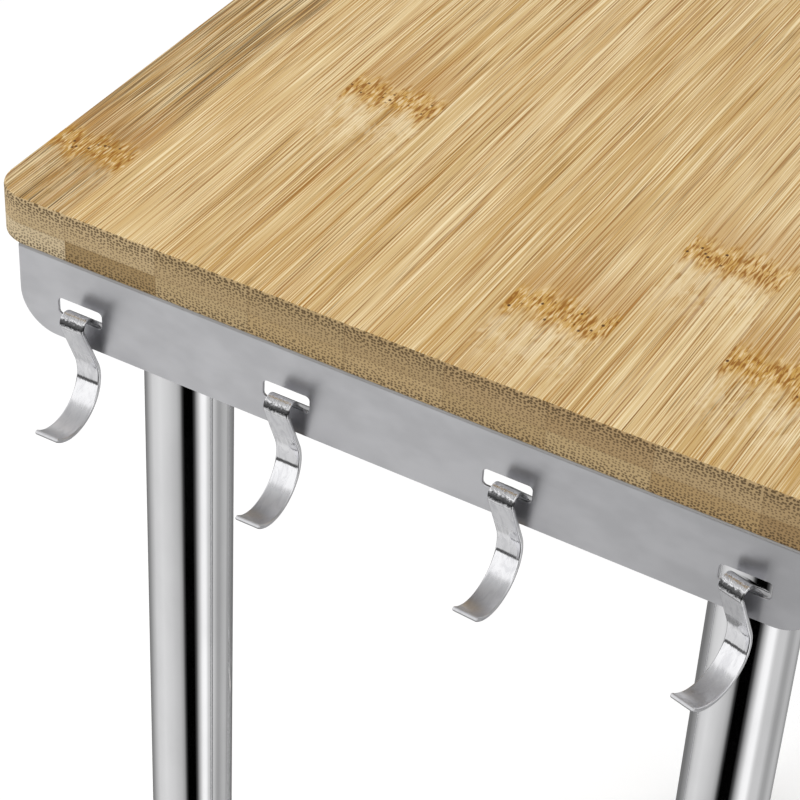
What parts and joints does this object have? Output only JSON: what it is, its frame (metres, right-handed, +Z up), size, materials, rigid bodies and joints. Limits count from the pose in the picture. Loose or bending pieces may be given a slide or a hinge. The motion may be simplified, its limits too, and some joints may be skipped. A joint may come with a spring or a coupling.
{
  "type": "kitchen island cart",
  "caption": "Narrow kitchen island cart: bamboo worktop on chromed tube legs, slotted steel end aprons with loose utensil hooks, low wire shelf and swivel castors.",
  "frame": {"origin": "on the floor, under the middle of the worktop", "axes": "+X to the right across the short ends, +Y along the worktop's grain from the front end to the rear end, +Z up"},
  "size_m": [0.302, 0.7894, 0.915],
  "materials": {
    "bamboo": "oiled bamboo, smooth, the grain along the worktop",
    "apron_steel": "satin stainless sheet",
    "rail_steel": "satin stainless sheet",
    "leg_chrome": "bright chrome on steel tube",
    "flange_steel": "bright zinc plate",
    "screw_zinc": "bright zinc plate",
    "plug_nylon": "black nylon",
    "shelf_chrome": "bright chrome on steel wire",
    "hook_steel": "polished stainless strip",
    "castor_zinc": "bright zinc plate",
    "axle_zinc": "bright zinc plate",
    "hub_grey": "grey nylon",
    "tyre_rubber": "soft black tread",
    "brake_plastic": "black nylon"
  },
  "bodies": {
    "frame": {"worktop": "bamboo", "end_apron_front": "apron_steel", "end_apron_rear": "apron_steel", "side_rail_left": "rail_steel", "side_rail_right": "rail_steel", "wood_screws": "screw_zinc", "leg_cup_fl": "flange_steel", "leg_cup_fr": "flange_steel", "leg_cup_rl": "flange_steel", "leg_cup_rr": "flange_steel", "leg_fl": "leg_chrome", "leg_fr": "leg_chrome", "leg_rl": "leg_chrome", "leg_rr": "leg_chrome", "leg_plug_fl": "plug_nylon", "leg_plug_fr": "plug_nylon", "leg_plug_rl": "plug_nylon", "leg_plug_rr": "plug_nylon", "shelf_collar_fl": "shelf_chrome", "shelf_collar_fr": "shelf_chrome", "shelf_collar_rl": "shelf_chrome", "shelf_collar_rr": "shelf_chrome", "collar_screws": "screw_zinc", "shelf_rod_left": "shelf_chrome", "shelf_rod_right": "shelf_chrome", "shelf_rod_front": "shelf_chrome", "shelf_rod_rear": "shelf_chrome", "shelf_cross_rods": "shelf_chrome", "shelf_wires": "shelf_chrome", "castor_stem_fl": "castor_zinc", "castor_stem_fr": "castor_zinc", "castor_stem_rl": "castor_zinc", "castor_stem_rr": "castor_zinc"},
    "castor_fl": {"castor_fork_fl": "castor_zinc", "castor_axle_fl": "axle_zinc"},
    "wheel_fl": {"castor_hub_fl": "hub_grey", "castor_tyre_fl": "tyre_rubber"},
    "castor_fr": {"castor_fork_fr": "castor_zinc", "castor_axle_fr": "axle_zinc"},
    "wheel_fr": {"castor_hub_fr": "hub_grey", "castor_tyre_fr": "tyre_rubber"},
    "castor_rl": {"castor_fork_rl": "castor_zinc", "castor_axle_rl": "axle_zinc"},
    "wheel_rl": {"castor_hub_rl": "hub_grey", "castor_tyre_rl": "tyre_rubber"},
    "castor_rr": {"castor_fork_rr": "castor_zinc", "castor_axle_rr": "axle_zinc"},
    "wheel_rr": {"castor_hub_rr": "hub_grey", "castor_tyre_rr": "tyre_rubber"},
    "brake_fl": {"castor_brake_fl": "brake_plastic"},
    "brake_fr": {"castor_brake_fr": "brake_plastic"},
    "hook_front_1_swing": {"hook_front_1": "hook_steel"},
    "hook_front_2_swing": {"hook_front_2": "hook_steel"},
    "hook_front_3_swing": {"hook_front_3": "hook_steel"},
    "hook_front_4_swing": {"hook_front_4": "hook_steel"},
    "hook_rear_1_swing": {"hook_rear_1": "hook_steel"},
    "hook_rear_2_swing": {"hook_rear_2": "hook_steel"},
    "hook_rear_3_swing": {"hook_rear_3": "hook_steel"},
    "hook_rear_4_swing": {"hook_rear_4": "hook_steel"}
  },
  "joints": [
    {"name": "castor_swivel_fl", "type": "hinge", "parent": "frame", "child": "castor_fl", "pos_m": [-0.107, -0.322, 0.045], "axis": [0, 0, 1], "continuous": true},
    {"name": "wheel_spin_fl", "type": "hinge", "parent": "castor_fl", "child": "wheel_fl", "pos_m": [-0.107, -0.336, 0.02], "axis": [1, 0, 0], "continuous": true},
    {"name": "castor_swivel_fr", "type": "hinge", "parent": "frame", "child": "castor_fr", "pos_m": [0.107, -0.322, 0.045], "axis": [0, 0, 1], "continuous": true},
    {"name": "wheel_spin_fr", "type": "hinge", "parent": "castor_fr", "child": "wheel_fr", "pos_m": [0.107, -0.336, 0.02], "axis": [1, 0, 0], "continuous": true},
    {"name": "castor_swivel_rl", "type": "hinge", "parent": "frame", "child": "castor_rl", "pos_m": [-0.107, 0.322, 0.045], "axis": [0, 0, 1], "continuous": true},
    {"name": "wheel_spin_rl", "type": "hinge", "parent": "castor_rl", "child": "wheel_rl", "pos_m": [-0.107, 0.336, 0.02], "axis": [1, 0, 0], "continuous": true},
    {"name": "castor_swivel_rr", "type": "hinge", "parent": "frame", "child": "castor_rr", "pos_m": [0.107, 0.322, 0.045], "axis": [0, 0, 1], "continuous": true},
    {"name": "wheel_spin_rr", "type": "hinge", "parent": "castor_rr", "child": "wheel_rr", "pos_m": [0.107, 0.336, 0.02], "axis": [1, 0, 0], "continuous": true},
    {"name": "brake_press_fl", "type": "hinge", "parent": "castor_fl", "child": "brake_fl", "pos_m": [-0.107, -0.3554, 0.037], "axis": [1, 0, 0], "range_deg": [0, 12]},
    {"name": "brake_press_fr", "type": "hinge", "parent": "castor_fr", "child": "brake_fr", "pos_m": [0.107, -0.3554, 0.037], "axis": [1, 0, 0], "range_deg": [0, 12]},
    {"name": "hook_swing_front_1", "type": "hinge", "parent": "frame", "child": "hook_front_1_swing", "pos_m": [-0.114, -0.3685, 0.8749], "axis": [-1, 0, 0], "range_deg": [0, 18]},
    {"name": "hook_swing_front_2", "type": "hinge", "parent": "frame", "child": "hook_front_2_swing", "pos_m": [-0.0372, -0.3685, 0.8749], "axis": [-1, 0, 0], "range_deg": [0, 18]},
    {"name": "hook_swing_front_3", "type": "hinge", "parent": "frame", "child": "hook_front_3_swing", "pos_m": [0.04651, -0.3685, 0.8749], "axis": [-0.9976, 0.0698, 0], "range_deg": [0, 13]},
    {"name": "hook_swing_front_4", "type": "hinge", "parent": "frame", "child": "hook_front_4_swing", "pos_m": [0.12316, -0.3685, 0.8749], "axis": [-0.9659, 0.2588, 0], "range_deg": [0, 5]},
    {"name": "hook_swing_rear_1", "type": "hinge", "parent": "frame", "child": "hook_rear_1_swing", "pos_m": [0.114, 0.3685, 0.8749], "axis": [1, 0, 0], "range_deg": [0, 18]},
    {"name": "hook_swing_rear_2", "type": "hinge", "parent": "frame", "child": "hook_rear_2_swing", "pos_m": [0.0372, 0.3685, 0.8749], "axis": [1, 0, 0], "range_deg": [0, 18]},
    {"name": "hook_swing_rear_3", "type": "hinge", "parent": "frame", "child": "hook_rear_3_swing", "pos_m": [-0.04651, 0.3685, 0.8749], "axis": [0.9976, -0.0698, 0], "range_deg": [0, 13]},
    {"name": "hook_swing_rear_4", "type": "hinge", "parent": "frame", "child": "hook_rear_4_swing", "pos_m": [-0.12316, 0.3685, 0.8749], "axis": [0.9659, -0.2588, 0], "range_deg": [0, 5]}
  ]
}
